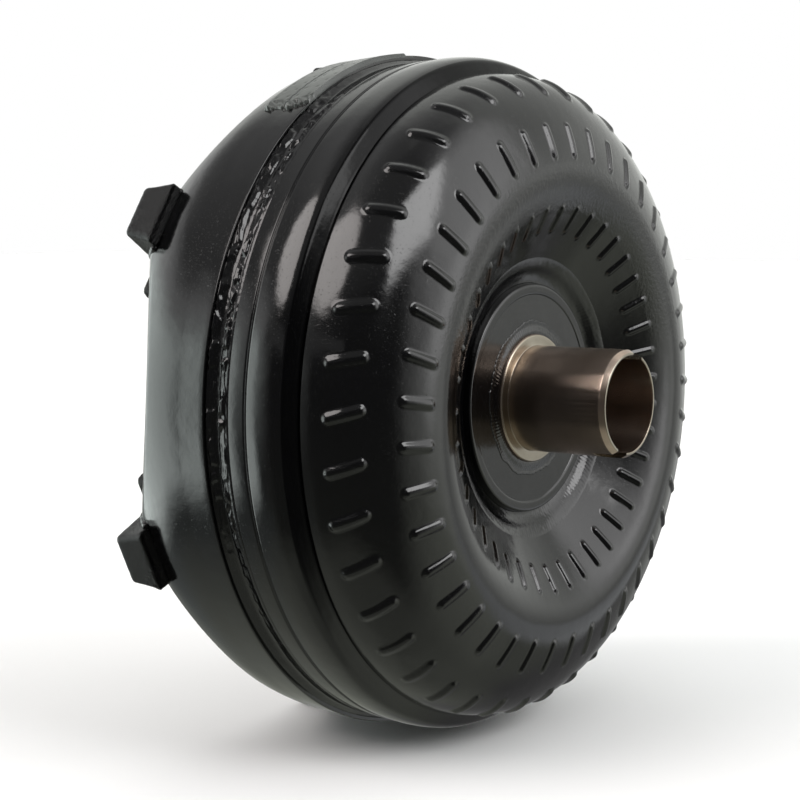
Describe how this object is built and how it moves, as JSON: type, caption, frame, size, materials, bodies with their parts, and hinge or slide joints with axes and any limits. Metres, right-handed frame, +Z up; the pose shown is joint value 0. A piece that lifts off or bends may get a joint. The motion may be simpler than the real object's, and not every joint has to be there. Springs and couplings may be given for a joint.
{
  "type": "torque converter",
  "caption": "Lock-up torque converter: welded cover and bladed impeller shell with mounting lugs and slotted pump hub, around a turbine, damper, clutch piston and stator on a one-way clutch",
  "frame": {"origin": "on the converter's axis, in the plane of the six flexplate pads", "axes": "X is the converter's axis, +X toward the pump hub and the transmission, -X toward the engine, +Z up"},
  "size_m": [0.1862, 0.3104, 0.3119],
  "materials": {
    "gloss_black": "gloss black paint",
    "satin_black": "satin black paint over cast steel",
    "turned_steel": "fine-turned steel with a bronze tint",
    "bright_steel": "bright machined steel",
    "sheet_steel": "pressed steel, oiled",
    "spring_steel": "spring steel wire",
    "friction_paper": "wet friction lining",
    "cast_aluminium": "die-cast aluminium",
    "thermoset": "moulded thermoset thrust plate",
    "seal_ptfe": "filled PTFE seal ring",
    "dark_weld": "gloss black paint over weld"
  },
  "bodies": {
    "housing": {"front_cover": "gloss_black", "crank_pilot": "bright_steel", "pilot_weld": "dark_weld", "mounting_lugs": "satin_black", "lug_welds": "dark_weld", "balance_weight": "gloss_black", "seam_weld": "dark_weld", "impeller_shell": "gloss_black", "shell_ridges": "gloss_black", "impeller_blades": "sheet_steel", "impeller_core_ring": "sheet_steel", "pump_hub": "turned_steel", "hub_flange": "gloss_black", "hub_weld": "dark_weld", "flange_weld": "dark_weld", "impeller_bearing_race": "bright_steel"},
    "turbine": {"turbine_shell": "sheet_steel", "turbine_blades": "sheet_steel", "turbine_core_ring": "sheet_steel", "turbine_hub": "bright_steel", "turbine_rivets": "bright_steel", "damper_hub_plate": "sheet_steel", "piston_seal": "seal_ptfe", "front_thrust_washer": "thermoset", "turbine_bearing_race": "bright_steel"},
    "damper": {"damper_front_plate": "sheet_steel", "damper_rear_plate": "sheet_steel", "damper_rivets": "bright_steel", "damper_springs": "spring_steel"},
    "piston": {"clutch_piston": "sheet_steel", "clutch_lining": "friction_paper"},
    "stator": {"stator_wheel": "cast_aluminium", "stator_outer_race": "bright_steel", "clutch_rollers": "bright_steel", "roller_springs": "spring_steel", "stator_front_cap": "thermoset", "stator_rear_cap": "thermoset", "stator_snap_ring": "spring_steel", "stator_front_race": "bright_steel", "stator_rear_race": "bright_steel"},
    "stator_race": {"stator_inner_race": "bright_steel"},
    "front_bearing": {"front_cage": "sheet_steel", "front_needles": "bright_steel"},
    "rear_bearing": {"rear_cage": "sheet_steel", "rear_needles": "bright_steel"}
  },
  "joints": [
    {"name": "turbine_spin", "type": "hinge", "parent": "housing", "child": "turbine", "pos_m": [0.05, 0, 0], "axis": [1, 0, 0], "continuous": true},
    {"name": "damper_twist", "type": "hinge", "parent": "turbine", "child": "damper", "pos_m": [0.032, 0, 0], "axis": [1, 0, 0], "range_deg": [-4, 4], "stiffness_Nm_per_rad": 600},
    {"name": "lockup_slide", "type": "slide", "parent": "damper", "child": "piston", "axis": [-1, 0, 0], "range_m": [0, 0.0014]},
    {"name": "stator_spin", "type": "hinge", "parent": "housing", "child": "stator", "pos_m": [0.095, 0, 0], "axis": [1, 0, 0], "continuous": true},
    {"name": "one_way_clutch", "type": "hinge", "parent": "stator", "child": "stator_race", "pos_m": [0.094, 0, 0], "axis": [1, 0, 0], "continuous": true},
    {"name": "front_bearing_spin", "type": "hinge", "parent": "housing", "child": "front_bearing", "pos_m": [0.0785, 0, 0], "axis": [1, 0, 0], "continuous": true},
    {"name": "rear_bearing_spin", "type": "hinge", "parent": "housing", "child": "rear_bearing", "pos_m": [0.1113, 0, 0], "axis": [1, 0, 0], "continuous": true}
  ],
  "couplings": [
    {"joint": "front_bearing_spin", "follows": "turbine_spin", "ratio": 0.5},
    {"joint": "rear_bearing_spin", "follows": "stator_spin", "ratio": 0.5}
  ]
}
